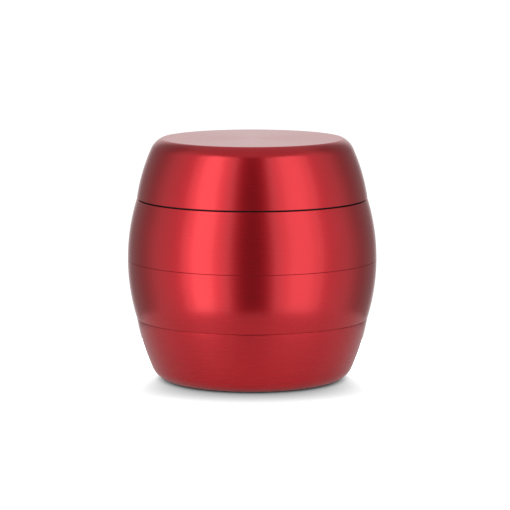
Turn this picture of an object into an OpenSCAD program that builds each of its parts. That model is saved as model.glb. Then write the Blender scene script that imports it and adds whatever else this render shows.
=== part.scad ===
// Barrel-shaped hand grinder for herbs and spices, turned from aluminium bar in
// four sections: a toothed lid held by magnets, a grinding chamber, a sieve
// chamber and a catcher. The three lower sections screw together.
// Millimetres, +Z up, origin at the centre of the flat underside.

/* [Barrel] */
// Diameter at the belly
belly_d = 63; // [62:0.5:66]
// Height from the underside to the flat top
total_h = 61.2; // [60.8:0.1:61.8]
// Height of the catcher, the lowest section
catcher_h = 15.6; // [15.2:0.05:16]
// Height of the sieve chamber
sieve_h = 15; // [14.8:0.05:15.4]
// Height of the grinding chamber
chamber_h = 15.25; // [15:0.05:15.6]
// Radius of the belly's curve, seen from the side
belly_arc_r = 51.3; // [48:0.1:56]
// Radius of the lid's curve, seen from the side
lid_arc_r = 47; // [44:0.5:52]
// Radius of the catcher's curve, seen from the side
catcher_arc_r = 53; // [50:0.5:56]
// Lean of the lid's wall where it leaves the seam, degrees
lid_lean = 8; // [7:0.1:9]
// Lean of the catcher's wall where it leaves the seam, degrees
catcher_lean = 9.9; // [9:0.1:10.4]
// Lean of both walls where the rounded shoulder starts, degrees
shoulder_lean = 24.2; // [23:0.1:26]
// Radius of the lid's rounded shoulder
lid_shoulder_r = 5.2; // [4.8:0.1:5.6]
// Chamfer that breaks each outer edge at a seam
edge_break = 0.15; // [0.1:0.01:0.2]

/* [Gaps] */
// Gap that shows between the lid and the grinding chamber
lid_gap = 0.35; // [0.25:0.05:0.5]
// Gap between two sections that are screwed tight
seam_gap = 0.04; // [0.02:0.01:0.08]

/* [Threads] */
// Rise of a section in one full turn
thread_pitch = 2; // [1.8:0.1:2.2]
// Turns of each thread ridge
thread_turns = 1.45; // [1.3:0.05:1.5]
// Root radius of the neck's thread
neck_r = 25.4; // [25:0.1:25.6]
// Length of a neck below its shoulder
neck_h = 4.4; // [4.2:0.1:4.6]
// Height of a thread ridge over its root
thread_depth = 0.85; // [0.7:0.05:0.9]
// Radial room between a crest and the root that it faces
thread_room = 0.25; // [0.2:0.05:0.3]
// Inner radius of both necks
neck_bore_r = 23.4; // [23:0.1:23.6]

/* [Lid] */
// Height of the lid's ceiling over the underside
lid_ceiling_z = 56.6; // [56.2:0.1:56.8]
// Radius of the recess inside the lid
recess_r = 23.6; // [23.4:0.1:23.8]
// Outer radius of the skirt that drops into the chamber
skirt_r = 26; // [25.8:0.1:26]
// Length of the skirt below the chamber's rim
skirt_h = 4.3; // [4:0.1:4.4]
// Gap between the tips of the lid's teeth and the chamber's floor
lid_tooth_gap = 1.5; // [1:0.1:3]

/* [Grinding chamber] */
// Top of the perforated floor
floor_z = 40; // [39.8:0.1:40.2]
// Thickness of the perforated floor
floor_t = 3; // [2.8:0.1:3.2]
// Radius of the bore that takes the lid's skirt
mouth_r = 26.25; // [26.2:0.05:26.3]
// Height of the chamber's teeth over the floor
chamber_tooth_h = 8; // [7:0.1:8.4]
// Diameter of a hole in the floor
drop_hole_d = 3.4; // [3:0.1:3.6]

/* [Teeth] */
// Length of a tooth along its row
tooth_l = 3.6; // [3:0.1:3.8]
// Width of a tooth across its row
tooth_w = 2.2; // [2:0.1:2.4]
// Distance from one row of teeth to the next
row_step = 3.4; // [3.3:0.05:3.45]
// Radius of the innermost row
first_row_r = 7; // [6.8:0.1:7.2]

/* [Magnets] */
// Radius of both centre posts
post_r = 4; // [3.8:0.1:4.2]
// Diameter of a disc magnet
magnet_d = 6; // [5:0.5:6]
// Thickness of a disc magnet
magnet_t = 3; // [2:0.5:3]
// Gap between the faces of the two posts
post_gap = 0.4; // [0.3:0.1:0.6]

/* [Sieve] */
// Radius of the sieve chamber's bore
sieve_bore_r = 24.8; // [24.7:0.1:24.9]
// Height of the ledge that carries the sieve
ledge_z = 17.6; // [17.4:0.1:17.8]
// Inner radius of that ledge
ledge_r = 22.6; // [22.2:0.1:22.8]
// Height of the crimped frame round the mesh
frame_h = 1; // [0.9:0.1:1.2]
// Thickness of the woven mesh
mesh_t = 0.24; // [0.2:0.02:0.3]
// Height of the spacer ring over the frame
spacer_h = 1.2; // [1:0.1:1.4]
// Wire diameter of the snap ring
snap_wire_d = 1.1; // [1:0.1:1.2]

/* [Catcher] */
// Thickness of the catcher's floor
catcher_floor_t = 2.6; // [2.4:0.1:3]
// Radius of the bowl
bowl_r = 24; // [23.6:0.1:24.2]
// Radius of the curve from the bowl's floor to its wall
bowl_round_r = 5; // [4:0.5:6]

/* [Scraper] */
// Distance from the scraper's centre to the centre of a corner
scraper_reach = 6.5; // [5:0.5:8]
// Radius of a corner
scraper_corner_r = 3; // [2:0.5:4]
// Thickness of the scraper
scraper_t = 1; // [0.8:0.1:1.2]

/* [Hidden] */
$fn = 128;

// Heights of the three seams
catcher_seam_z = catcher_h;
sieve_seam_z = catcher_seam_z + sieve_h;
lid_seam_z = sieve_seam_z + chamber_h;

// Centres of the outline's arcs, as [radius, height]
belly_r = belly_d / 2;
belly_z = sieve_seam_z;
belly_c = [belly_r - belly_arc_r, belly_z];
function belly_rim(z) = belly_c.x + sqrt(pow(belly_arc_r, 2) - pow(z - belly_z, 2));
lid_c = [
    belly_rim(lid_seam_z) - lid_arc_r * cos(lid_lean),
    lid_seam_z - lid_arc_r * sin(lid_lean),
];
lid_shoulder_c = lid_c
    + (lid_arc_r - lid_shoulder_r) * [cos(shoulder_lean), sin(shoulder_lean)];
catcher_c = [
    belly_rim(catcher_seam_z) - catcher_arc_r * cos(catcher_lean),
    catcher_seam_z + catcher_arc_r * sin(catcher_lean),
];

// The catcher's shoulder runs smoothly into the flat underside
catcher_shoulder_r = (catcher_c.y - catcher_arc_r * sin(shoulder_lean))
    / (1 - sin(shoulder_lean));
catcher_shoulder_c = catcher_c
    + (catcher_arc_r - catcher_shoulder_r) * [cos(shoulder_lean), -sin(shoulder_lean)];

// Threads
socket_r = neck_r + thread_depth + thread_room;   // root radius of a socket's thread
socket_h = neck_h + 0.7;                          // depth of a socket
thread_steps = 60;                                // facets in one turn
thread_base_w = 1.05;                             // width of a ridge at its root
thread_crest_w = 0.55;                            // width of a ridge at its crest
thread_sink = 0.3;                                // how far a ridge reaches into its wall
thread_fade = 6;                                  // facets over which a ridge starts and ends
thread_low = -neck_h + 0.1 + thread_base_w / 2;   // lowest ridge centre, from the seam
end_break = 0.4;                                  // chamfer at a neck's end
mouth_break = 0.3;                                // chamfer at a socket's mouth

// Rows as [place, count, turn in steps]: even places are teeth on the chamber's
// floor, odd places are teeth in the lid with holes in the floor below them
function row_r(place) = first_row_r + place * row_step;
chamber_rows = [[0, 6, 0], [2, 12, 0], [4, 18, 0]];
lid_rows = [[1, 8, 0.5], [3, 15, 0.5]];
hole_rows = [[1, 10, 0.5], [3, 18, 0.5]];
lid_tooth_z = floor_z + lid_tooth_gap;
tooth_sink = 0.5;

// Step in the chamber's wall, just below the lid's skirt
mouth_z = floor_z + 1.2;
chamber_wall_r = 25.2;

// Posts and magnets
magnet_r = magnet_d / 2;
pocket_room = 0.05;
chamber_post_z = 43.6;
lid_post_z = chamber_post_z + post_gap;

// Friction ring
ring_room = 0.08;
ring_outer_r = 28.45;
ring_groove_h = 0.9;
ring_lift = 0.02;

// Parts of the sieve
part_room = 0.1;
stack_gap = 0.02;
frame_inner_r = 22.9;
mesh_r = 24;
mesh_slot_r = 24.1;
mesh_slot_room = 0.03;
spacer_inner_r = 23.2;
spacer_z = ledge_z + frame_h + stack_gap;
snap_z = spacer_z + spacer_h + stack_gap + snap_wire_d / 2;
snap_r = 24.65;
snap_open_angle = 24;
snap_groove_depth = 0.5;
big = 100;

// ---- Shared shapes ----

// A ring or disc between two heights, as a flat outline to be turned
module band(r0, r1, z0, z1) {
    translate([r0, z0]) square([r1 - r0, z1 - z0]);
}

// Everything inside the belly's arc between two heights
module belly_outline(z0, z1) {
    intersection() {
        translate(belly_c) circle(belly_arc_r, $fn = 360);
        band(0, big, z0, z1);
    }
}

// The corner outside a shoulder of radius r about c; side is 1 for the lid and -1 for
// the catcher
module shoulder_waste(c, r, side) {
    reach = 20;
    difference() {
        polygon([
            c,
            c + reach * [cos(shoulder_lean), side * sin(shoulder_lean)],
            c + reach * [1, side],
            c + reach * [0, side],
        ]);
        translate(c) circle(r);
    }
}

// The sliver that a chamfer takes off the outer edge at [r, z]; side is 1 for an
// edge that faces up and -1 for one that faces down
module edge_waste(r, z, side) {
    polygon([
        [r - edge_break, z + side * 0.01],
        [r + edge_break, z + side * 0.01],
        [r + edge_break, z - side * edge_break * 2],
        [r, z - side * edge_break],
    ]);
}

// The solid of a neck that hangs below z = low, with a chamfered end
module neck_outline(low) {
    polygon([
        [0, low + 1],
        [neck_r, low + 1],
        [neck_r, low - neck_h + end_break],
        [neck_r - end_break, low - neck_h],
        [0, low - neck_h],
    ]);
}

// The space of a socket below a seam, with a chamfered mouth
module socket_waste(seam_z) {
    polygon([
        [0, seam_z - socket_h],
        [socket_r, seam_z - socket_h],
        [socket_r, seam_z - mouth_break],
        [socket_r + 2 * mouth_break, seam_z + mouth_break],
        [0, seam_z + mouth_break],
    ]);
}

// A helical ridge. It starts at height z, climbs by the pitch in each turn, and
// fades in and out. The crest may lie outside the root (neck) or inside it (socket).
module thread_ridge(root_r, crest_r, z, phase) {
    last = floor(thread_turns * thread_steps);
    out = crest_r > root_r ? 1 : -1;
    function fade(i) = max(0.02, min(1, i / thread_fade, (last - i) / thread_fade));
    function spot(r, h, i) = [
        r * cos(phase + 360 * i / thread_steps),
        r * sin(phase + 360 * i / thread_steps),
        z + thread_pitch * i / thread_steps + out * h,
    ];
    points = [
        for (i = [0:last])
            for (p = [
                [root_r - out * thread_sink, -thread_base_w / 2],
                [root_r + (crest_r - root_r) * fade(i), -thread_crest_w / 2],
                [root_r + (crest_r - root_r) * fade(i), thread_crest_w / 2],
                [root_r - out * thread_sink, thread_base_w / 2],
            ])
                spot(p.x, p.y, i)
    ];
    sides = [
        for (i = [0:last - 1])
            for (k = [0:3])
                for (f = [
                    [4 * i + k, 4 * i + (k + 1) % 4, 4 * i + 4 + (k + 1) % 4],
                    [4 * i + k, 4 * i + 4 + (k + 1) % 4, 4 * i + 4 + k],
                ])
                    f
    ];
    ends = [
        [3, 2, 1, 0],
        [4 * last, 4 * last + 1, 4 * last + 2, 4 * last + 3],
    ];
    polyhedron(points, concat(sides, ends), convexity = 4);
}

// The thread of a neck that hangs below a seam
module neck_thread(seam_z) {
    thread_ridge(neck_r, neck_r + thread_depth, seam_z + thread_low, 0);
}

// The thread of a socket below a seam, half a pitch away from the neck's
module socket_thread(seam_z) {
    thread_ridge(socket_r, socket_r - thread_depth, seam_z + thread_low, 180);
}

// One diamond tooth, long side along its row
module tooth(h) {
    linear_extrude(h)
        polygon([
            [tooth_w / 2, 0], [0, tooth_l / 2], [-tooth_w / 2, 0], [0, -tooth_l / 2],
        ]);
}

// The child, repeated at each spot of the rows at height z
module along_rows(rows, z) {
    for (row = rows)
        for (k = [0:row[1] - 1])
            rotate(360 * (k + row[2]) / row[1])
                translate([row_r(row[0]), 0, z])
                    children();
}

// ---- Catcher ----

module catcher_outline() {
    difference() {
        intersection() {
            translate(catcher_c) circle(catcher_arc_r, $fn = 360);
            band(0, big, 0, catcher_seam_z);
        }
        shoulder_waste(catcher_shoulder_c, catcher_shoulder_r, -1);
        edge_waste(belly_rim(catcher_seam_z), catcher_seam_z, 1);
        // bowl, with a rounded floor
        band(0, bowl_r - bowl_round_r, catcher_floor_t, big);
        band(0, bowl_r, catcher_floor_t + bowl_round_r, big);
        translate([bowl_r - bowl_round_r, catcher_floor_t + bowl_round_r])
            circle(bowl_round_r);
        socket_waste(catcher_seam_z);
    }
}

module catcher() {
    color("crimson") {
        rotate_extrude() catcher_outline();
        socket_thread(catcher_seam_z);
    }
}

// ---- Scraper: a loose plastic pick that lies in the catcher ----

module scraper() {
    color("dimgray")
        translate([3, -2, catcher_floor_t + stack_gap])
            difference() {
                linear_extrude(scraper_t)
                    hull()
                        for (a = [90, 210, 330])
                            rotate(a) translate([scraper_reach, 0])
                                circle(scraper_corner_r, $fn = 32);
                translate([0, 0, -1]) cylinder(r = 2, h = scraper_t + 2, $fn = 48);
            }
}

// ---- Sieve chamber ----

module sieve_chamber_outline() {
    low = catcher_seam_z + seam_gap;
    difference() {
        union() {
            belly_outline(low, sieve_seam_z);
            neck_outline(low);
        }
        edge_waste(belly_rim(low), low, -1);
        edge_waste(belly_rim(sieve_seam_z), sieve_seam_z, 1);
        band(0, ledge_r, -big, big);
        band(0, neck_bore_r, -big, catcher_seam_z + 0.6);
        band(0, sieve_bore_r, ledge_z, big);
        socket_waste(sieve_seam_z);
        // groove for the snap ring
        band(0, sieve_bore_r + snap_groove_depth,
            snap_z - snap_wire_d / 2 - 0.05, snap_z + snap_wire_d / 2 + 0.05);
    }
}

module sieve_chamber() {
    color("crimson") {
        rotate_extrude() sieve_chamber_outline();
        neck_thread(catcher_seam_z + seam_gap);
        socket_thread(sieve_seam_z);
    }
}

// Steel rim crimped round the edge of the mesh
module mesh_frame() {
    slot = mesh_t / 2 + mesh_slot_room;
    color("silver")
        rotate_extrude()
            difference() {
                band(frame_inner_r, sieve_bore_r - part_room, ledge_z, ledge_z + frame_h);
                band(0, mesh_slot_r, ledge_z + frame_h / 2 - slot, ledge_z + frame_h / 2 + slot);
            }
}

// Woven wire cloth, as a plain disc of its thickness
module sieve_mesh() {
    color("lightgray")
        translate([0, 0, ledge_z + frame_h / 2 - mesh_t / 2])
            cylinder(r = mesh_r, h = mesh_t);
}

// Plain ring that spreads the snap ring's push over the frame
module spacer_ring() {
    color("silver")
        rotate_extrude()
            band(spacer_inner_r, sieve_bore_r - part_room, spacer_z, spacer_z + spacer_h);
}

// Open ring of spring wire, sprung into its groove
module snap_ring() {
    color("gray")
        rotate(snap_open_angle / 2)
            rotate_extrude(angle = 360 - snap_open_angle)
                translate([snap_r, snap_z]) circle(snap_wire_d / 2, $fn = 32);
}

// ---- Grinding chamber ----

module grinding_chamber_outline() {
    low = sieve_seam_z + seam_gap;
    difference() {
        union() {
            belly_outline(low, lid_seam_z);
            neck_outline(low);
        }
        edge_waste(belly_rim(low), low, -1);
        edge_waste(belly_rim(lid_seam_z), lid_seam_z, 1);
        // space under the floor
        band(0, neck_bore_r, -big, floor_z - floor_t);
        // space over the floor, round the centre post
        band(post_r, chamber_wall_r, floor_z, big);
        band(post_r, mouth_r, mouth_z, big);
        band(0, post_r + 1, chamber_post_z, big);
        // pocket for the magnet
        band(0, magnet_r + pocket_room, chamber_post_z - magnet_t - pocket_room, big);
    }
}

module grinding_chamber() {
    color("crimson") {
        difference() {
            rotate_extrude() grinding_chamber_outline();
            along_rows(hole_rows, floor_z - floor_t - 1)
                cylinder(d = drop_hole_d, h = floor_t + 2, $fn = 32);
        }
        along_rows(chamber_rows, floor_z - tooth_sink) tooth(chamber_tooth_h + tooth_sink);
        neck_thread(sieve_seam_z + seam_gap);
    }
}

module chamber_magnet() {
    color("gainsboro")
        translate([0, 0, chamber_post_z - magnet_t - stack_gap])
            cylinder(r = magnet_r, h = magnet_t, $fn = 64);
}

// ---- Lid ----

module lid_outline() {
    low = lid_seam_z + lid_gap;
    difference() {
        union() {
            difference() {
                intersection() {
                    translate(lid_c) circle(lid_arc_r, $fn = 360);
                    band(0, big, low, total_h);
                }
                shoulder_waste(lid_shoulder_c, lid_shoulder_r, 1);
                edge_waste(lid_c.x + sqrt(pow(lid_arc_r, 2) - pow(low - lid_c.y, 2)), low, -1);
            }
            band(0, skirt_r, lid_seam_z - skirt_h, low + 1);
        }
        // recess round the centre post
        band(post_r, recess_r, -big, lid_ceiling_z);
        band(0, post_r + 1, -big, lid_post_z);
        // pocket for the magnet
        band(0, magnet_r + pocket_room, -big, lid_post_z + magnet_t + pocket_room);
        // groove for the friction ring
        band(skirt_r, ring_outer_r, low - 1, low + ring_groove_h);
    }
}

module lid() {
    color("crimson") {
        rotate_extrude() lid_outline();
        along_rows(lid_rows, lid_tooth_z) tooth(lid_ceiling_z - lid_tooth_z + tooth_sink);
    }
}

module lid_magnet() {
    color("gainsboro")
        translate([0, 0, lid_post_z + stack_gap])
            cylinder(r = magnet_r, h = magnet_t, $fn = 64);
}

// Plastic ring that the lid turns on
module friction_ring() {
    color("black")
        rotate_extrude()
            band(skirt_r + ring_room, ring_outer_r - ring_room,
                lid_seam_z + ring_lift, lid_seam_z + lid_gap + ring_groove_h - ring_lift);
}

catcher();
scraper();
sieve_chamber();
mesh_frame();
sieve_mesh();
spacer_ring();
snap_ring();
grinding_chamber();
chamber_magnet();
friction_ring();
lid();
lid_magnet();
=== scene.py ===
from math import asin, cos, degrees, pi, radians, sin

import bpy
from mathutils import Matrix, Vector


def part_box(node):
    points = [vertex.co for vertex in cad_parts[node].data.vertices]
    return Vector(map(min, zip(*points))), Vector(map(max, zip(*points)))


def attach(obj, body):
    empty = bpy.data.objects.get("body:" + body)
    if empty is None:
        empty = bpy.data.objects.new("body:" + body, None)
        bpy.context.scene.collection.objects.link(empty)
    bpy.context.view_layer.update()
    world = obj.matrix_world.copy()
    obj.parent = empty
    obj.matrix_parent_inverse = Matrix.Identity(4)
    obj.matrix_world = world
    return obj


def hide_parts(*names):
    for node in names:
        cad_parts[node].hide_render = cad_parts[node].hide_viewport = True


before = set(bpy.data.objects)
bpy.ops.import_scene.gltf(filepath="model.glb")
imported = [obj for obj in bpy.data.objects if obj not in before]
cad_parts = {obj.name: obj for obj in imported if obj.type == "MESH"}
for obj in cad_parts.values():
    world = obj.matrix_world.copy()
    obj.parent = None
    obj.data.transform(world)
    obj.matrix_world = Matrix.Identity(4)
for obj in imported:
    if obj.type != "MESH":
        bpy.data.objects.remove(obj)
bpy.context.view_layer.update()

mm = 0.001

# ---------------------------------------------------------------------------
# Catcher
# The lowest section is a cup turned from aluminium bar, with a rounded bowl
# inside and a threaded socket at its mouth. It is anodised deep red all over.
# ---------------------------------------------------------------------------

catcher_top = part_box("catcher")[1].z
catcher_arc_r = 53 * mm
catcher_lean = 9.9
shoulder_lean = 24.2
catcher_floor = 2.6 * mm
bowl_r = 24 * mm
bowl_round_r = 5 * mm

# The outline of the whole barrel hangs on the arc of its belly
belly_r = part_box("grinding_chamber")[1].x
belly_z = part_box("sieve_chamber")[1].z
belly_arc_r = 51.3 * mm


def belly_lean(z):
    """How far the belly's wall leans back at a height, in degrees."""
    return degrees(asin((z - belly_z) / belly_arc_r))


def belly_rim(z):
    """The belly's radius at a height."""
    return belly_r - belly_arc_r * (1 - cos(radians(belly_lean(z))))


# Every thread has the same pitch and ridge
thread_pitch = 2 * mm
thread_turns = 1.45
thread_depth = 0.85 * mm
thread_base_w = 1.05 * mm
thread_crest_w = 0.55 * mm
thread_sink = 0.3 * mm
thread_steps = 90
thread_fade = 9
thread_end = 0.02
neck_r = 25.4 * mm
neck_h = 4.4 * mm
socket_r = neck_r + thread_depth + 0.25 * mm
socket_h = neck_h + 0.7 * mm
mouth_break = 0.3 * mm
thread_low = -neck_h + 0.1 * mm + thread_base_w / 2


def arc(centre, radius, start, end, steps):
    """Points along an arc, as (radius, height); angles in degrees, 0 pointing outwards."""
    angles = [radians(start + (end - start) * i / steps) for i in range(steps + 1)]
    return [(centre[0] + radius * cos(a), centre[1] + radius * sin(a)) for a in angles]


def draw(name, outline):
    """Draws an outline of (radius, height) points as one face, and stays in edit mode."""
    bpy.ops.object.select_all(action="DESELECT")
    bpy.ops.mesh.primitive_plane_add(size=mm, location=(0, 0, 0))
    piece = bpy.context.object
    piece.name = piece.data.name = name
    bpy.ops.object.mode_set(mode="EDIT")
    bpy.ops.mesh.select_mode(type="VERT")
    bpy.ops.mesh.select_all(action="SELECT")
    bpy.ops.mesh.merge(type="CENTER")
    bpy.ops.transform.translate(value=(outline[0][0], 0, outline[0][1]))
    for (r, z), (next_r, next_z) in zip(outline, outline[1:]):
        step = {"value": (next_r - r, 0, next_z - z)}
        bpy.ops.mesh.extrude_region_move(TRANSFORM_OT_translate=step)
    bpy.ops.mesh.select_all(action="SELECT")
    bpy.ops.mesh.edge_face_add()
    return piece


def select(piece, kind, wanted):
    """Selects the vertices, edges or faces that a test picks, and returns to edit mode."""
    bpy.ops.mesh.select_all(action="DESELECT")
    bpy.ops.mesh.select_mode(type={"vertices": "VERT", "edges": "EDGE", "polygons": "FACE"}[kind])
    bpy.ops.object.mode_set(mode="OBJECT")
    for element in getattr(piece.data, kind):
        element.select = wanted(element)
    bpy.ops.object.mode_set(mode="EDIT")


def turned(name, outline, edge_r=0.1 * mm, around=240):
    """Turns an outline into a solid, as on a lathe, with its sharp corners broken."""
    piece = draw(name, outline)
    corners = []
    for i, (r, z) in enumerate(outline):
        back = Vector(outline[i - 1]) - Vector((r, z))
        on = Vector(outline[(i + 1) % len(outline)]) - Vector((r, z))
        if r > 1e-6 and back.angle(on) < radians(160):
            corners.append(Vector((r, 0, z)))
    select(piece, "vertices", lambda v: any((v.co - c).length < 1e-7 for c in corners))
    bpy.ops.mesh.bevel(offset=edge_r, segments=3, affect="VERTICES")
    bpy.ops.mesh.select_all(action="SELECT")
    bpy.ops.mesh.delete(type="ONLY_FACE")
    select(piece, "edges", lambda e: all(piece.data.vertices[v].co.x < 1e-7 for v in e.vertices))
    bpy.ops.mesh.delete(type="EDGE")
    bpy.ops.mesh.select_mode(type="VERT")
    bpy.ops.mesh.select_all(action="SELECT")
    bpy.ops.mesh.spin(steps=around, angle=2 * pi, center=(0, 0, 0), axis=(0, 0, 1))
    bpy.ops.mesh.select_all(action="SELECT")
    bpy.ops.mesh.remove_doubles(threshold=1e-7)
    bpy.ops.mesh.normals_make_consistent(inside=False)
    bpy.ops.object.mode_set(mode="OBJECT")
    return piece


def thread(name, root_r, crest_r, low, phase):
    """A right-handed ridge that starts at height low, climbs, and fades at both ends."""
    out = 1 if crest_r > root_r else -1
    foot_r = root_r - out * thread_sink
    outline = [
        (foot_r, low - thread_base_w / 2),
        (root_r, low - thread_base_w / 2),
        (crest_r, low - thread_crest_w / 2),
        (crest_r, low + thread_crest_w / 2),
        (root_r, low + thread_base_w / 2),
        (foot_r, low + thread_base_w / 2),
    ]
    ridge = draw(name, outline)
    bpy.ops.object.mode_set(mode="OBJECT")
    screw = ridge.modifiers.new("climb", "SCREW")
    screw.angle = 2 * pi * thread_turns
    screw.screw_offset = thread_pitch * thread_turns
    last = round(thread_steps * thread_turns)
    screw.steps = screw.render_steps = last
    bpy.ops.object.modifier_apply(modifier="climb")
    bpy.ops.object.mode_set(mode="EDIT")
    for i in range(thread_fade):
        height = max(thread_end, i / thread_fade)
        scale = (root_r + (crest_r - root_r) * height) / crest_r
        select(ridge, "vertices", lambda v: v.index // len(outline) in (i, last - i)
               and abs(v.co.xy.length - crest_r) < 1e-6)
        bpy.ops.transform.resize(value=(scale, scale, 1), center_override=(0, 0, 0))
    bpy.ops.mesh.select_all(action="SELECT")
    bpy.ops.mesh.fill_holes(sides=0)
    bpy.ops.transform.rotate(value=-phase, orient_axis="Z", center_override=(0, 0, 0))
    bpy.ops.mesh.normals_make_consistent(inside=False)
    bpy.ops.object.mode_set(mode="OBJECT")
    return ridge


def combine(piece, tool, operation):
    """Adds a tool's solid to a piece, or cuts it away, and removes the tool."""
    bpy.ops.object.select_all(action="DESELECT")
    bpy.context.view_layer.objects.active = piece
    boolean = piece.modifiers.new("combine", "BOOLEAN")
    boolean.operation = operation
    boolean.solver = "EXACT"
    boolean.object = tool
    bpy.ops.object.modifier_apply(modifier="combine")
    bpy.data.objects.remove(tool)


def smooth(piece):
    """Shades the round faces smooth and keeps the flat ones flat."""
    bpy.ops.object.select_all(action="DESELECT")
    piece.select_set(True)
    bpy.context.view_layer.objects.active = piece
    bpy.ops.object.shade_smooth_by_angle(angle=radians(32))
    piece.modifiers.new("flats", "WEIGHTED_NORMAL").keep_sharp = True
    bpy.ops.object.modifier_apply(modifier="flats")


catcher_centre = (
    belly_rim(catcher_top) - catcher_arc_r * cos(radians(catcher_lean)),
    catcher_top + catcher_arc_r * sin(radians(catcher_lean)),
)
lean_sin = sin(radians(shoulder_lean))
catcher_shoulder_r = (catcher_centre[1] - catcher_arc_r * lean_sin) / (1 - lean_sin)
catcher_shoulder_centre = (
    catcher_centre[0] + (catcher_arc_r - catcher_shoulder_r) * cos(radians(shoulder_lean)),
    catcher_shoulder_r,
)
catcher = turned("catcher_cup", [
    (0, 0),
    *arc(catcher_shoulder_centre, catcher_shoulder_r, -90, -shoulder_lean, 12),
    *arc(catcher_centre, catcher_arc_r, -shoulder_lean, -catcher_lean, 16)[1:],
    (socket_r + mouth_break, catcher_top),
    (socket_r, catcher_top - mouth_break),
    (socket_r, catcher_top - socket_h),
    (bowl_r, catcher_top - socket_h),
    *arc((bowl_r - bowl_round_r, catcher_floor + bowl_round_r), bowl_round_r, 0, -90, 12),
    (0, catcher_floor),
])
combine(
    catcher,
    thread("catcher_thread", socket_r, socket_r - thread_depth, catcher_top + thread_low, pi),
    "UNION",
)
smooth(catcher)


def node_tree(name):
    """A new material with its Principled shader, and its nodes and links."""
    material = bpy.data.materials.new(name)
    material.use_nodes = True
    nodes = material.node_tree.nodes
    return material, nodes, material.node_tree.links, nodes["Principled BSDF"]


def group(name, inputs, outputs):
    """A new shader node group with float sockets, given as {name: default}."""
    tree = bpy.data.node_groups.new(name, "ShaderNodeTree")
    for label, value in inputs.items():
        socket = tree.interface.new_socket(label, in_out="INPUT", socket_type="NodeSocketFloat")
        socket.default_value = value
    for label in outputs:
        tree.interface.new_socket(label, in_out="OUTPUT", socket_type="NodeSocketFloat")
    return tree, tree.nodes.new("NodeGroupInput"), tree.nodes.new("NodeGroupOutput")


def reckon(tree, operation, *values):
    """A math node on values that are numbers or sockets; returns its result."""
    node = tree.nodes.new("ShaderNodeMath")
    node.operation = operation
    for socket, value in zip(node.inputs, values):
        if isinstance(value, (int, float)):
            socket.default_value = value
        else:
            tree.links.new(value, socket)
    return node.outputs[0]


# Marks of the turning tool: rings round the axis that wander a little on the way round
turning, turning_in, turning_out = group(
    "turning_marks", {"Rings per mm": 6.0, "Wander": 1.5}, ["Marks"]
)
place = turning.nodes.new("ShaderNodeTexCoord")
split = turning.nodes.new("ShaderNodeSeparateXYZ")
turning.links.new(place.outputs["Object"], split.inputs[0])
x, y, z = split.outputs
radius = reckon(turning, "SQRT", reckon(turning, "ADD",
    reckon(turning, "MULTIPLY", x, x), reckon(turning, "MULTIPLY", y, y)))
near = reckon(turning, "MAXIMUM", radius, 0.0005)
per_m = reckon(turning, "MULTIPLY", turning_in.outputs["Rings per mm"], 1000)
spread = turning.nodes.new("ShaderNodeCombineXYZ")
turning.links.new(reckon(turning, "MULTIPLY", radius, per_m), spread.inputs[0])
turning.links.new(reckon(turning, "MULTIPLY", z, per_m), spread.inputs[1])
turning.links.new(reckon(turning, "MULTIPLY",
    reckon(turning, "DIVIDE", x, near), turning_in.outputs["Wander"]), spread.inputs[2])
rings = turning.nodes.new("ShaderNodeTexNoise")
rings.noise_dimensions = "4D"
rings.inputs["Scale"].default_value = 1
rings.inputs["Detail"].default_value = 2
turning.links.new(spread.outputs[0], rings.inputs["Vector"])
turning.links.new(reckon(turning, "MULTIPLY",
    reckon(turning, "DIVIDE", y, near), turning_in.outputs["Wander"]), rings.inputs["W"])
turning.links.new(rings.outputs["Fac"], turning_out.inputs["Marks"])

# Faint smears that handling leaves on a finish
handling, handling_in, handling_out = group("handling_smears", {"Per metre": 60.0}, ["Smears"])
place = handling.nodes.new("ShaderNodeTexCoord")
smears = handling.nodes.new("ShaderNodeTexNoise")
smears.inputs["Detail"].default_value = 4
smears.inputs["Roughness"].default_value = 0.55
smears.inputs["Distortion"].default_value = 0.4
handling.links.new(place.outputs["Object"], smears.inputs["Vector"])
handling.links.new(handling_in.outputs["Per metre"], smears.inputs["Scale"])
handling.links.new(smears.outputs["Fac"], handling_out.inputs["Smears"])


def placed(nodes, tree, **values):
    """An instance of a node group in a material, with its own values."""
    node = nodes.new("ShaderNodeGroup")
    node.node_tree = tree
    for label, value in values.items():
        node.inputs[label.replace("_", " ")].default_value = value
    return node


def ranged(nodes, links, value, low, high):
    """Maps a value from 0.3..0.7, where noise mostly lies, to low..high."""
    node = nodes.new("ShaderNodeMapRange")
    node.inputs["From Min"].default_value = 0.3
    node.inputs["From Max"].default_value = 0.7
    node.inputs["To Min"].default_value = low
    node.inputs["To Max"].default_value = high
    links.new(value, node.inputs["Value"])
    return node.outputs["Result"]


def blended(nodes, links, value, first, second):
    """A colour between two, by a value."""
    node = nodes.new("ShaderNodeMix")
    node.data_type = "RGBA"
    links.new(value, node.inputs["Factor"])
    node.inputs["A"].default_value = (*first, 1)
    node.inputs["B"].default_value = (*second, 1)
    return node.outputs["Result"]


def bumped(nodes, links, height, distance, shader):
    """Feeds a height into a shader's normal."""
    node = nodes.new("ShaderNodeBump")
    node.inputs["Distance"].default_value = distance
    links.new(height, node.inputs["Height"])
    links.new(node.outputs["Normal"], shader.inputs["Normal"])


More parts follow.
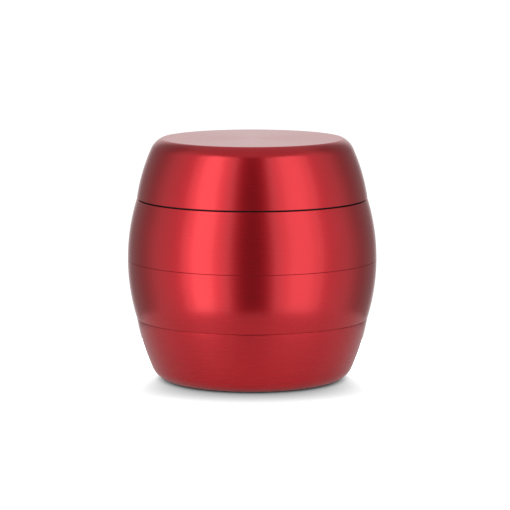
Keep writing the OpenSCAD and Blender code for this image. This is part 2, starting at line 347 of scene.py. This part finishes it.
# Satin aluminium under a clear, dyed oxide: the metal colours what it mirrors, and
# the oxide adds a pale sheen that takes over where it is seen edge on
red_anodised, nodes, links, shader = node_tree("red_anodised_aluminium")
marks = placed(nodes, turning, Rings_per_mm=14.0, Wander=1.2).outputs["Marks"]
smears = placed(nodes, handling, Per_metre=55.0).outputs["Smears"]
links.new(
    blended(nodes, links, ranged(nodes, links, smears, 0, 1), (0.61, 0.003, 0.013), (0.65, 0.005, 0.017)),
    shader.inputs["Base Color"],
)
links.new(ranged(nodes, links, marks, 0.27, 0.29), shader.inputs["Roughness"])
bumped(nodes, links, marks, 0.00002 * mm, shader)
tangent = nodes.new("ShaderNodeTangent")
tangent.direction_type = "RADIAL"
tangent.axis = "Z"
links.new(tangent.outputs[0], shader.inputs["Tangent"])
shader.inputs["Metallic"].default_value = 1
shader.inputs["Anisotropic"].default_value = 0.4
shader.inputs["Coat Weight"].default_value = 0.72
shader.inputs["Coat IOR"].default_value = 1.6
shader.inputs["Coat Roughness"].default_value = 0.18


def finish_piece(piece, material, body, slot, *nodes_replaced):
    """Gives a piece its material, its body and the nodes it stands for; slot is not used."""
    piece.data.materials.clear()
    piece.data.materials.append(material)
    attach(piece, body)
    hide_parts(*nodes_replaced)


finish_piece(catcher, red_anodised, "catcher_body", "red_anodised_aluminium", "catcher")

# ---------------------------------------------------------------------------
# Scraper
# A small three-cornered pick moulded in grey plastic lies loose in the catcher, and
# is used to sweep the powder out.
# ---------------------------------------------------------------------------

scraper_low, scraper_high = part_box("scraper")
scraper_x, scraper_y = 3 * mm, -2 * mm
scraper_corner_r = 3 * mm
scraper_point_r = 6.5 * mm + 2 * scraper_corner_r
scraper_edge_r = 0.18 * mm
scraper_hole_r = 2 * mm
scraper_hole_depth = 2 * mm

bpy.ops.object.select_all(action="DESELECT")
bpy.ops.mesh.primitive_cylinder_add(
    vertices=3, radius=scraper_point_r, depth=scraper_high.z - scraper_low.z,
    location=(0, 0, (scraper_low.z + scraper_high.z) / 2),
)
scraper = bpy.context.object
scraper.name = "pick"
bpy.ops.object.transform_apply(location=True, rotation=True, scale=True)
bpy.ops.object.mode_set(mode="EDIT")
select(scraper, "edges", lambda e: abs(
    scraper.data.vertices[e.vertices[0]].co.z - scraper.data.vertices[e.vertices[1]].co.z) > 1e-6)
bpy.ops.mesh.bevel(offset=scraper_corner_r * 3 ** 0.5, segments=16)
select(scraper, "polygons", lambda f: abs(f.normal.z) > 0.9)
bpy.ops.mesh.select_mode(type="EDGE")
bpy.ops.mesh.region_to_loop()
bpy.ops.mesh.bevel(offset=scraper_edge_r, segments=3)
bpy.ops.object.mode_set(mode="OBJECT")
bpy.ops.object.select_all(action="DESELECT")
bpy.ops.mesh.primitive_cylinder_add(
    vertices=48, radius=scraper_hole_r, depth=2 * scraper_hole_depth,
    location=(0, 0, scraper_low.z),
)
combine(scraper, bpy.context.object, "DIFFERENCE")
bpy.ops.object.select_all(action="DESELECT")
scraper.select_set(True)
bpy.ops.transform.translate(value=(scraper_x, scraper_y, 0))
bpy.ops.object.transform_apply(location=True, rotation=True, scale=True)
smooth(scraper)

# Moulded grey plastic with a fine matt grain
grey_plastic, nodes, links, shader = node_tree("grey_plastic")
grain = placed(nodes, handling, Per_metre=1500.0).outputs["Smears"]
links.new(
    blended(nodes, links, ranged(nodes, links, grain, 0, 1), (0.13, 0.13, 0.135), (0.16, 0.16, 0.165)),
    shader.inputs["Base Color"],
)
links.new(ranged(nodes, links, grain, 0.42, 0.55), shader.inputs["Roughness"])
bumped(nodes, links, grain, 0.02 * mm, shader)

finish_piece(scraper, grey_plastic, "scraper_body", "grey_plastic", "scraper")

# ---------------------------------------------------------------------------
# Sieve chamber
# The second section is a turned aluminium ring. Its threaded neck screws into
# the catcher, its socket takes the grinding chamber, and a ledge carries the sieve.
# ---------------------------------------------------------------------------

seam_gap = 0.04 * mm
sieve_low = catcher_top + seam_gap
ledge_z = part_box("mesh_frame")[0].z
ledge_r = 22.6 * mm
ledge_under_z = sieve_low + 0.56 * mm
sieve_bore_r = 24.8 * mm
neck_bore_r = 23.4 * mm
end_break = 0.4 * mm
snap_low, snap_high = (corner.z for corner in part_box("snap_ring"))
snap_groove_r = sieve_bore_r + 0.5 * mm
groove_room = 0.05 * mm


def neck_outline(low, bore_r):
    """The corners of a neck below a shoulder, from its bore round to its root."""
    return [
        (bore_r, low - neck_h),
        (neck_r - end_break, low - neck_h),
        (neck_r, low - neck_h + end_break),
        (neck_r, low),
    ]


def socket_outline(top):
    """The corners of a socket from its mouth to its foot."""
    return [
        (socket_r + mouth_break, top),
        (socket_r, top - mouth_break),
        (socket_r, top - socket_h),
    ]


def belly_wall(low, high, steps):
    """The belly's outline between two heights."""
    centre = (belly_r - belly_arc_r, belly_z)
    return arc(centre, belly_arc_r, belly_lean(low), belly_lean(high), steps)


sieve_chamber = turned("sieve_ring", [
    (neck_bore_r, ledge_under_z),
    *neck_outline(sieve_low, neck_bore_r),
    *belly_wall(sieve_low, belly_z, 18),
    *socket_outline(belly_z),
    (sieve_bore_r, belly_z - socket_h),
    (sieve_bore_r, snap_high + groove_room),
    (snap_groove_r, snap_high + groove_room),
    (snap_groove_r, snap_low - groove_room),
    (sieve_bore_r, snap_low - groove_room),
    (sieve_bore_r, ledge_z),
    (ledge_r, ledge_z),
    (ledge_r, ledge_under_z),
])
combine(
    sieve_chamber,
    thread("sieve_neck_thread", neck_r, neck_r + thread_depth, sieve_low + thread_low, 0),
    "UNION",
)
combine(
    sieve_chamber,
    thread("sieve_socket_thread", socket_r, socket_r - thread_depth, belly_z + thread_low, pi),
    "UNION",
)
smooth(sieve_chamber)
finish_piece(
    sieve_chamber, red_anodised, "sieve_section", "red_anodised_aluminium", "sieve_chamber"
)

# ---------------------------------------------------------------------------
# Sieve
# A fine woven stainless cloth is crimped into a pressed steel frame, which lies
# on the sieve chamber's ledge.
# ---------------------------------------------------------------------------

frame_low, frame_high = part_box("mesh_frame")
frame_r = frame_high.x
frame_inner_r = 22.9 * mm
cloth_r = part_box("sieve_mesh")[1].x
cloth_low, cloth_high = (corner.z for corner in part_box("sieve_mesh"))
cloth_z = (cloth_low + cloth_high) / 2
cloth_pitch = 0.8 * mm
wire_r = 0.055 * mm
wire_wave = 0.058 * mm
cloth_edge = 1.2 * mm
wire_end = 0.2 * mm
cloth_slot_r = 24.1 * mm
cloth_slot_h = 2 * (wire_wave + wire_r + 0.02 * mm)

mesh_frame = turned("sieve_frame", [
    (frame_inner_r, cloth_z + cloth_slot_h / 2),
    (cloth_slot_r, cloth_z + cloth_slot_h / 2),
    (cloth_slot_r, cloth_z - cloth_slot_h / 2),
    (frame_inner_r, cloth_z - cloth_slot_h / 2),
    (frame_inner_r, frame_low.z),
    (frame_r, frame_low.z),
    (frame_r, frame_high.z),
    (frame_inner_r, frame_high.z),
], edge_r=0.08 * mm)
smooth(mesh_frame)


def woven_wire(across, over_first):
    """The points of one wire of the cloth that lies parallel to X, at a distance across."""
    half = (cloth_r ** 2 - across ** 2) ** 0.5
    first = int(-half / cloth_pitch) - 1
    points = [(-half, across, cloth_z)]
    for k in range(first, -first + 1):
        x = (k + 0.5) * cloth_pitch
        if abs(x) < half - wire_end:
            side = 1 if (k + over_first) % 2 else -1
            points.append((x, across, cloth_z + side * wire_wave))
    points.append((half, across, cloth_z))
    return points


cloth = bpy.data.curves.new("sieve_cloth", "CURVE")
cloth.dimensions = "3D"
cloth.bevel_depth = wire_r
cloth.bevel_resolution = 1
cloth.resolution_u = 2
cloth.use_fill_caps = True
rows = int(cloth_r / cloth_pitch) + 1
for row in range(-rows, rows + 1):
    distance = (row + 0.5) * cloth_pitch
    if abs(distance) > cloth_r - cloth_edge:
        continue
    for turned_over in (0, 1):
        points = woven_wire(distance, row + turned_over)
        wire = cloth.splines.new("BEZIER")
        wire.bezier_points.add(len(points) - 1)
        for knot, (x, y, z) in zip(wire.bezier_points, points):
            knot.co = (-y, x, z) if turned_over else (x, y, z)
            knot.handle_left_type = knot.handle_right_type = "AUTO"
sieve_cloth = bpy.data.objects.new("sieve_cloth", cloth)
bpy.context.collection.objects.link(sieve_cloth)
bpy.ops.object.select_all(action="DESELECT")
sieve_cloth.select_set(True)
bpy.context.view_layer.objects.active = sieve_cloth
bpy.ops.object.convert(target="MESH")
sieve_cloth = bpy.context.object
bpy.ops.object.mode_set(mode="EDIT")
bpy.ops.mesh.select_all(action="SELECT")
bpy.ops.mesh.remove_doubles(threshold=1e-7)
bpy.ops.mesh.normals_make_consistent(inside=False)
bpy.ops.object.mode_set(mode="OBJECT")
bpy.ops.object.shade_smooth_by_angle(angle=radians(50))

# Bright rolled or drawn stainless, with fine marks that run round it
stainless, nodes, links, shader = node_tree("stainless_steel")
marks = placed(nodes, turning, Rings_per_mm=9.0, Wander=3.0).outputs["Marks"]
smears = placed(nodes, handling, Per_metre=90.0).outputs["Smears"]
links.new(
    blended(nodes, links, ranged(nodes, links, smears, 0, 1), (0.55, 0.54, 0.52), (0.64, 0.63, 0.61)),
    shader.inputs["Base Color"],
)
links.new(ranged(nodes, links, marks, 0.2, 0.34), shader.inputs["Roughness"])
bumped(nodes, links, marks, 0.0015 * mm, shader)
shader.inputs["Metallic"].default_value = 1

finish_piece(mesh_frame, stainless, "sieve_section", "stainless_steel", "mesh_frame")
finish_piece(sieve_cloth, stainless, "sieve_section", "stainless_steel", "sieve_mesh")

# ---------------------------------------------------------------------------
# Spacer ring
# A plain turned steel ring lies on the sieve's frame and fills the room up to the
# snap ring.
# ---------------------------------------------------------------------------

spacer_low, spacer_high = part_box("spacer_ring")
spacer_bore_r = 23.2 * mm
spacer = turned("spacer", [
    (spacer_bore_r, spacer_low.z),
    (spacer_high.x, spacer_low.z),
    (spacer_high.x, spacer_high.z),
    (spacer_bore_r, spacer_high.z),
], edge_r=0.18 * mm)
smooth(spacer)
finish_piece(spacer, stainless, "sieve_riser", "stainless_steel", "spacer_ring")

# ---------------------------------------------------------------------------
# Snap ring
# An open ring of round spring wire, with its ends rounded, springs into the sieve
# chamber's groove and holds the spacer and the sieve down.
# ---------------------------------------------------------------------------

snap_wire_r = (snap_high - snap_low) / 2
snap_r = 24.65 * mm
snap_z = (snap_low + snap_high) / 2
snap_opening = radians(24)
snap_end_round = 0.25 * mm

bpy.ops.object.select_all(action="DESELECT")
bpy.ops.mesh.primitive_circle_add(
    vertices=24, radius=snap_wire_r, location=(snap_r, 0, snap_z), rotation=(pi / 2, 0, 0)
)
snap_ring = bpy.context.object
snap_ring.name = "snap_wire"
bpy.ops.object.transform_apply(location=True, rotation=True, scale=True)
bpy.ops.object.mode_set(mode="EDIT")
bpy.ops.mesh.select_all(action="SELECT")
bpy.ops.transform.rotate(value=-snap_opening / 2, orient_axis="Z", center_override=(0, 0, 0))
bpy.ops.mesh.spin(steps=160, angle=2 * pi - snap_opening, center=(0, 0, 0), axis=(0, 0, 1))
bpy.ops.mesh.select_all(action="SELECT")
bpy.ops.mesh.fill_holes(sides=0)
bpy.ops.mesh.normals_make_consistent(inside=False)
select(snap_ring, "polygons", lambda f: len(f.vertices) > 4)
bpy.ops.mesh.select_mode(type="EDGE")
bpy.ops.mesh.region_to_loop()
bpy.ops.mesh.bevel(offset=snap_end_round, segments=4)
bpy.ops.object.mode_set(mode="OBJECT")
smooth(snap_ring)
finish_piece(snap_ring, stainless, "sieve_section", "stainless_steel", "snap_ring")

# ---------------------------------------------------------------------------
# Grinding chamber
# The third section is turned and then milled from one piece: a perforated floor
# with rows of diamond teeth, a centre post that holds a magnet, and a threaded neck.
# ---------------------------------------------------------------------------

chamber_low = belly_z + seam_gap
ring_room = 0.02 * mm
rim_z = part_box("friction_ring")[0].z - ring_room
floor_z = 40 * mm
floor_t = 3 * mm
mouth_r = 26.25 * mm
mouth_z = floor_z + 1.2 * mm
chamber_wall_r = 25.2 * mm
post_r = 4 * mm
pocket_room = 0.05 * mm
magnet_room = 0.02 * mm
magnet_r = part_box("chamber_magnet")[1].x
magnet_low, magnet_high = (corner.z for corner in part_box("chamber_magnet"))
chamber_post_z = magnet_high + magnet_room
chamber_tooth_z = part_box("grinding_chamber")[1].z
tooth_l = 3.6 * mm
tooth_w = 2.2 * mm
first_row_r = 7 * mm
row_step = 3.4 * mm
hole_r = 1.7 * mm
hole_flare = 0.2 * mm
tooth_root = 0.5 * mm
tooth_flank_break = 0.12 * mm
tooth_tip_break = 0.15 * mm


def tooth(name, low, high, tip_up):
    """One diamond tooth with broken edges, its tip up or down."""
    bpy.ops.object.select_all(action="DESELECT")
    bpy.ops.mesh.primitive_cylinder_add(
        vertices=4, radius=1, depth=high - low, location=(0, 0, (low + high) / 2)
    )
    piece = bpy.context.object
    piece.name = name
    bpy.ops.transform.resize(value=(tooth_w / 2, tooth_l / 2, 1))
    bpy.ops.object.transform_apply(location=True, rotation=True, scale=True)
    tip_z = high if tip_up else low
    bpy.ops.object.mode_set(mode="EDIT")
    select(piece, "edges", lambda e: abs(
        sum(piece.data.vertices[v].co.z for v in e.vertices) / 2 - (low + high) / 2) < 1e-6)
    bpy.ops.mesh.bevel(offset=tooth_flank_break, segments=2)
    select(piece, "edges", lambda e: all(
        abs(piece.data.vertices[v].co.z - tip_z) < 1e-7 for v in e.vertices))
    bpy.ops.mesh.bevel(offset=tooth_tip_break, segments=2)
    bpy.ops.object.mode_set(mode="OBJECT")
    return piece


def along_rows(model, rows):
    """Copies a model to each place of its rows of (place, count, turn) as one object."""
    copies = []
    for row, count, turn in rows:
        for k in range(count):
            bpy.ops.object.select_all(action="DESELECT")
            copy = model.copy()
            copy.data = model.data.copy()
            bpy.context.collection.objects.link(copy)
            angle = 2 * pi * (k + turn) / count
            copy.location = (
                (first_row_r + row * row_step) * cos(angle),
                (first_row_r + row * row_step) * sin(angle),
                0,
            )
            copy.rotation_euler = (0, 0, angle)
            copies.append(copy)
    bpy.data.objects.remove(model)
    bpy.ops.object.select_all(action="DESELECT")
    for copy in copies:
        copy.select_set(True)
    bpy.context.view_layer.objects.active = copies[0]
    bpy.ops.object.join()
    bpy.ops.object.transform_apply(location=True, rotation=True, scale=True)
    return copies[0]


def drop_hole():
    """The cutter of one hole through the floor, flared where it meets both faces."""
    low, high = floor_z - floor_t, floor_z
    return turned("hole_cutter", [
        (0, low - hole_flare),
        (hole_r + 2 * hole_flare, low - hole_flare),
        (hole_r, low + hole_flare),
        (hole_r, high - hole_flare),
        (hole_r + 2 * hole_flare, high + hole_flare),
        (0, high + hole_flare),
    ], edge_r=0.05 * mm, around=40)


grinding_chamber = turned("grinding_ring", [
    (0, floor_z - floor_t),
    (neck_bore_r, floor_z - floor_t),
    *neck_outline(chamber_low, neck_bore_r),
    *belly_wall(chamber_low, rim_z, 18),
    (mouth_r, rim_z),
    (mouth_r, mouth_z),
    (chamber_wall_r, mouth_z),
    (chamber_wall_r, floor_z),
    (post_r, floor_z),
    (post_r, chamber_post_z),
    (magnet_r + pocket_room, chamber_post_z),
    (magnet_r + pocket_room, magnet_low - pocket_room + magnet_room),
    (0, magnet_low - pocket_room + magnet_room),
])
combine(grinding_chamber, along_rows(drop_hole(), [(1, 10, 0.5), (3, 18, 0.5)]), "DIFFERENCE")
chamber_tooth = tooth("chamber_tooth", floor_z - tooth_root, chamber_tooth_z, True)
combine(
    grinding_chamber, along_rows(chamber_tooth, [(0, 6, 0), (2, 12, 0), (4, 18, 0)]), "UNION"
)
combine(
    grinding_chamber,
    thread("chamber_thread", neck_r, neck_r + thread_depth, chamber_low + thread_low, 0),
    "UNION",
)
smooth(grinding_chamber)
finish_piece(
    grinding_chamber, red_anodised, "chamber_section", "red_anodised_aluminium",
    "grinding_chamber",
)

# ---------------------------------------------------------------------------
# Lid
# The top section is a turned cap with a flat top, a rounded shoulder, a skirt that
# drops into the chamber, rows of teeth, and a post with the second magnet.
# ---------------------------------------------------------------------------

lid_gap = 0.35 * mm
lid_low = rim_z + lid_gap
lid_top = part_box("lid")[1].z
lid_arc_r = 47 * mm
lid_lean = 8
lid_shoulder_r = 5.2 * mm
skirt_r = 26 * mm
skirt_h = 4.3 * mm
skirt_z = rim_z - skirt_h
recess_r = 23.6 * mm
ceiling_z = 56.6 * mm
lid_tooth_z = floor_z + 1.5 * mm
ring_groove_r = 28.45 * mm
ring_groove_z = lid_low + 0.9 * mm
lid_magnet_low, lid_magnet_high = (corner.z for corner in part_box("lid_magnet"))
lid_post_z = lid_magnet_low - magnet_room

lid_centre = (
    belly_rim(rim_z) - lid_arc_r * cos(radians(lid_lean)),
    rim_z - lid_arc_r * sin(radians(lid_lean)),
)
lid_shoulder_centre = (
    lid_centre[0] + (lid_arc_r - lid_shoulder_r) * cos(radians(shoulder_lean)),
    lid_centre[1] + (lid_arc_r - lid_shoulder_r) * sin(radians(shoulder_lean)),
)
low_lean = degrees(asin((lid_low - lid_centre[1]) / lid_arc_r))
top_lean = degrees(asin((lid_top - lid_shoulder_centre[1]) / lid_shoulder_r))
lid = turned("lid_cap", [
    (0, lid_magnet_high + pocket_room),
    (magnet_r + pocket_room, lid_magnet_high + pocket_room - magnet_room),
    (magnet_r + pocket_room, lid_post_z),
    (post_r, lid_post_z),
    (post_r, ceiling_z),
    (recess_r, ceiling_z),
    (recess_r, skirt_z),
    (skirt_r, skirt_z),
    (skirt_r, ring_groove_z),
    (ring_groove_r, ring_groove_z),
    (ring_groove_r, lid_low),
    *arc(lid_centre, lid_arc_r, low_lean, shoulder_lean, 18),
    *arc(lid_shoulder_centre, lid_shoulder_r, shoulder_lean, top_lean, 12)[1:],
    (0, lid_top),
])
lid_tooth = tooth("lid_tooth", lid_tooth_z, ceiling_z + tooth_root, False)
combine(lid, along_rows(lid_tooth, [(1, 8, 0.5), (3, 15, 0.5)]), "UNION")
smooth(lid)
finish_piece(lid, red_anodised, "lid_section", "red_anodised_aluminium", "lid")

# ---------------------------------------------------------------------------
# Magnets
# Two nickel-plated disc magnets are pressed into the posts of the chamber and the
# lid, and hold the lid on while it is turned.
# ---------------------------------------------------------------------------


def magnet(name, low, high):
    """A disc magnet with broken edges."""
    piece = turned(name, [(0, low), (magnet_r, low), (magnet_r, high), (0, high)], edge_r=0.2 * mm)
    smooth(piece)
    return piece


chamber_magnet = magnet("chamber_disc", magnet_low, magnet_high)
lid_magnet = magnet("lid_disc", lid_magnet_low, lid_magnet_high)

# Bright nickel plate, a little warm, with small scuffs
nickel, nodes, links, shader = node_tree("nickel_plate")
smears = placed(nodes, handling, Per_metre=260.0).outputs["Smears"]
links.new(
    blended(nodes, links, ranged(nodes, links, smears, 0, 1), (0.60, 0.56, 0.50), (0.70, 0.67, 0.61)),
    shader.inputs["Base Color"],
)
links.new(ranged(nodes, links, smears, 0.12, 0.26), shader.inputs["Roughness"])
bumped(nodes, links, smears, 0.004 * mm, shader)
shader.inputs["Metallic"].default_value = 1

finish_piece(chamber_magnet, nickel, "chamber_riser", "nickel_plate", "chamber_magnet")
finish_piece(lid_magnet, nickel, "lid_section", "nickel_plate", "lid_magnet")

# ---------------------------------------------------------------------------
# Friction ring
# A slippery black acetal ring sits in the lid's groove and slides on the chamber's
# rim. It holds the lid a hair above the chamber, which is the dark line between them.
# ---------------------------------------------------------------------------

ring_low, ring_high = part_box("friction_ring")
ring_bore_r = 26.08 * mm
friction_ring = turned("slide_ring", [
    (ring_bore_r, ring_low.z),
    (ring_high.x, ring_low.z),
    (ring_high.x, ring_high.z),
    (ring_bore_r, ring_high.z),
], edge_r=0.12 * mm)
smooth(friction_ring)

# Moulded black plastic with a slight sheen and a fine uneven skin
acetal, nodes, links, shader = node_tree("black_acetal")
smears = placed(nodes, handling, Per_metre=400.0).outputs["Smears"]
links.new(
    blended(nodes, links, ranged(nodes, links, smears, 0, 1), (0.010, 0.010, 0.011), (0.018, 0.017, 0.017)),
    shader.inputs["Base Color"],
)
links.new(ranged(nodes, links, smears, 0.35, 0.5), shader.inputs["Roughness"])
bumped(nodes, links, smears, 0.01 * mm, shader)

finish_piece(friction_ring, acetal, "lid_riser", "black_acetal", "friction_ring")

# ---------------------------------------------------------------------------
# Floor, lights and camera
# A plain white table between two large softboxes, each with a brighter core, that
# stand either side of the camera, in a room that is dark in front and pale behind.
# ---------------------------------------------------------------------------

look_at = Vector((0.71 * mm, 0, 31.4 * mm))
camera_distance = 771.8 * mm
camera_pitch = radians(7.8)
camera = bpy.data.objects.new("camera", bpy.data.cameras.new("camera"))
bpy.context.collection.objects.link(camera)
camera.data.lens = 214.9
camera.data.sensor_width = 36
camera.data.clip_start = 0.01
camera.location = look_at + camera_distance * Vector((0, -cos(camera_pitch), sin(camera_pitch)))
camera.rotation_euler = (pi / 2 - camera_pitch, 0, 0)
bpy.context.scene.camera = camera


def softbox(name, azimuth, elevation, distance, width, height, radiance):
    """A soft rectangular light that faces the object; azimuth 0 is the camera's side."""
    light = bpy.data.lights.new(name, "AREA")
    light.shape = "RECTANGLE"
    light.size = width
    light.size_y = height
    light.energy = radiance * pi * width * height
    lamp = bpy.data.objects.new(name, light)
    bpy.context.collection.objects.link(lamp)
    a, e = radians(azimuth), radians(elevation)
    away = Vector((sin(a) * cos(e), -cos(a) * cos(e), sin(e)))
    lamp.location = Vector((0, 0, 30 * mm)) + distance * away
    lamp.rotation_euler = away.to_track_quat("Z", "Y").to_euler()
    lamp.visible_camera = False


softbox("softbox_left", -43, 6, 0.6, 0.53, 1.1, 0.62)
softbox("softbox_left_core", -46, 6, 0.58, 0.22, 1.1, 0.88)
softbox("softbox_right", 43, 6, 0.6, 0.55, 1.1, 0.6)
softbox("softbox_right_core", 45, 6, 0.58, 0.24, 1.1, 0.42)

# The table is small, so the softboxes also shine past its edge from below its top,
# and it glows faintly, which the object's foot mirrors
table_r = 68 * mm
table_opening_r = 20.5 * mm
shadow_reach = 14 * mm
shadow_front_y = -28 * mm
shadow_back_y = 4 * mm
bpy.ops.object.select_all(action="DESELECT")
bpy.ops.mesh.primitive_circle_add(vertices=128, radius=table_r, fill_type="NGON")
table = bpy.context.object
table.name = "table"
bpy.ops.object.mode_set(mode="EDIT")
bpy.ops.mesh.select_all(action="SELECT")
bpy.ops.mesh.inset(thickness=table_r - table_opening_r)
bpy.ops.mesh.delete(type="FACE")
bpy.ops.object.mode_set(mode="OBJECT")
table_white, nodes, links, shader = node_tree("table_white")
shader.inputs["Base Color"].default_value = (0.86, 0.86, 0.86, 1)
shader.inputs["Roughness"].default_value = 0.22
shader.inputs["Specular IOR Level"].default_value = 1
shader.inputs["Emission Color"].default_value = (1, 1, 1, 1)
shader.inputs["Emission Strength"].default_value = 0.06
# The camera sees it as plain white with a painted soft shadow, drawn from ambient occlusion, where the
# object stands, and sees through it from below, where it is open under the object
shade = nodes.new("ShaderNodeAmbientOcclusion")
shade.samples = 8
shade.inputs["Distance"].default_value = shadow_reach
deepen = nodes.new("ShaderNodeMath")
deepen.operation = "POWER"
deepen.inputs[1].default_value = 1.2
brighten = nodes.new("ShaderNodeMath")
brighten.operation = "MULTIPLY"
# Painted light: it brightens towards the back, which leaves the painted shadow mostly in front
surface = nodes.new("ShaderNodeNewGeometry")
axes = nodes.new("ShaderNodeSeparateXYZ")
farther = nodes.new("ShaderNodeMapRange")
farther.inputs["From Min"].default_value = shadow_front_y
farther.inputs["From Max"].default_value = shadow_back_y
curve = nodes.new("ShaderNodeMath")
curve.operation = "POWER"
curve.inputs[1].default_value = 2
level = nodes.new("ShaderNodeMapRange")
level.inputs["To Min"].default_value = 1.15
level.inputs["To Max"].default_value = 3.6
links.new(surface.outputs["Position"], axes.inputs[0])
links.new(axes.outputs["Y"], farther.inputs["Value"])
links.new(farther.outputs[0], curve.inputs[0])
links.new(curve.outputs[0], level.inputs["Value"])
plain = nodes.new("ShaderNodeEmission")
ray = nodes.new("ShaderNodeLightPath")
either = nodes.new("ShaderNodeMixShader")
links.new(shade.outputs["AO"], deepen.inputs[0])
links.new(deepen.outputs[0], brighten.inputs[0])
links.new(level.outputs[0], brighten.inputs[1])
links.new(brighten.outputs[0], plain.inputs["Strength"])
links.new(ray.outputs["Is Camera Ray"], either.inputs["Fac"])
links.new(shader.outputs[0], either.inputs[1])
links.new(plain.outputs[0], either.inputs[2])
clear = nodes.new("ShaderNodeBsdfTransparent")
one_way = nodes.new("ShaderNodeMixShader")
links.new(surface.outputs["Backfacing"], one_way.inputs["Fac"])
links.new(either.outputs[0], one_way.inputs[1])
links.new(clear.outputs[0], one_way.inputs[2])
links.new(one_way.outputs[0], nodes["Material Output"].inputs["Surface"])
table.data.materials.append(table_white)

# The room is dark behind the camera, paler at its sides, white behind and overhead
world = bpy.data.worlds.new("studio")
bpy.context.scene.world = world
world.use_nodes = True
sky = world.node_tree
background = sky.nodes["Background"]
background.inputs["Color"].default_value = (1, 1, 1, 1)
direction = sky.nodes.new("ShaderNodeTexCoord")
parts = sky.nodes.new("ShaderNodeSeparateXYZ")
sky.links.new(direction.outputs["Generated"], parts.inputs[0])
x, y, z = parts.outputs
azimuth = reckon(sky, "MULTIPLY", reckon(sky, "ABSOLUTE",
    reckon(sky, "ARCTAN2", x, reckon(sky, "MULTIPLY", y, -1))), 180 / pi)
elevation = reckon(sky, "MULTIPLY", reckon(sky, "ARCSINE", z), 180 / pi)


def rise(value, start, end, height):
    """A smooth step from 0 to a height between two values."""
    node = sky.nodes.new("ShaderNodeMapRange")
    node.interpolation_type = "SMOOTHSTEP"
    node.inputs["From Min"].default_value = start
    node.inputs["From Max"].default_value = end
    node.inputs["To Max"].default_value = height
    sky.links.new(value, node.inputs["Value"])
    return node.outputs["Result"]


sides = reckon(sky, "SUBTRACT", rise(azimuth, 9, 22, 0.37), rise(azimuth, 95, 125, 0.27))
sides = reckon(sky, "ADD", sides, reckon(sky, "SUBTRACT",
    rise(azimuth, 56, 66, 0.17), rise(azimuth, 85, 115, 0.14)))
room = reckon(sky, "ADD", reckon(sky, "ADD", 0.12, sides), rise(azimuth, 150, 172, 0.5))
above = rise(elevation, 40, 60, 1.0)
room = reckon(sky, "MULTIPLY", room, reckon(sky, "SUBTRACT", 1, above))
room = reckon(sky, "ADD", room, reckon(sky, "MULTIPLY", above, 0.5))
ray = sky.nodes.new("ShaderNodeLightPath")
seen = reckon(sky, "MAXIMUM", room, reckon(sky, "MULTIPLY", ray.outputs["Is Camera Ray"], 1.1))
sky.links.new(seen, background.inputs["Strength"])

bpy.context.scene.view_settings.view_transform = "Standard"
bpy.context.scene.view_settings.look = "None"
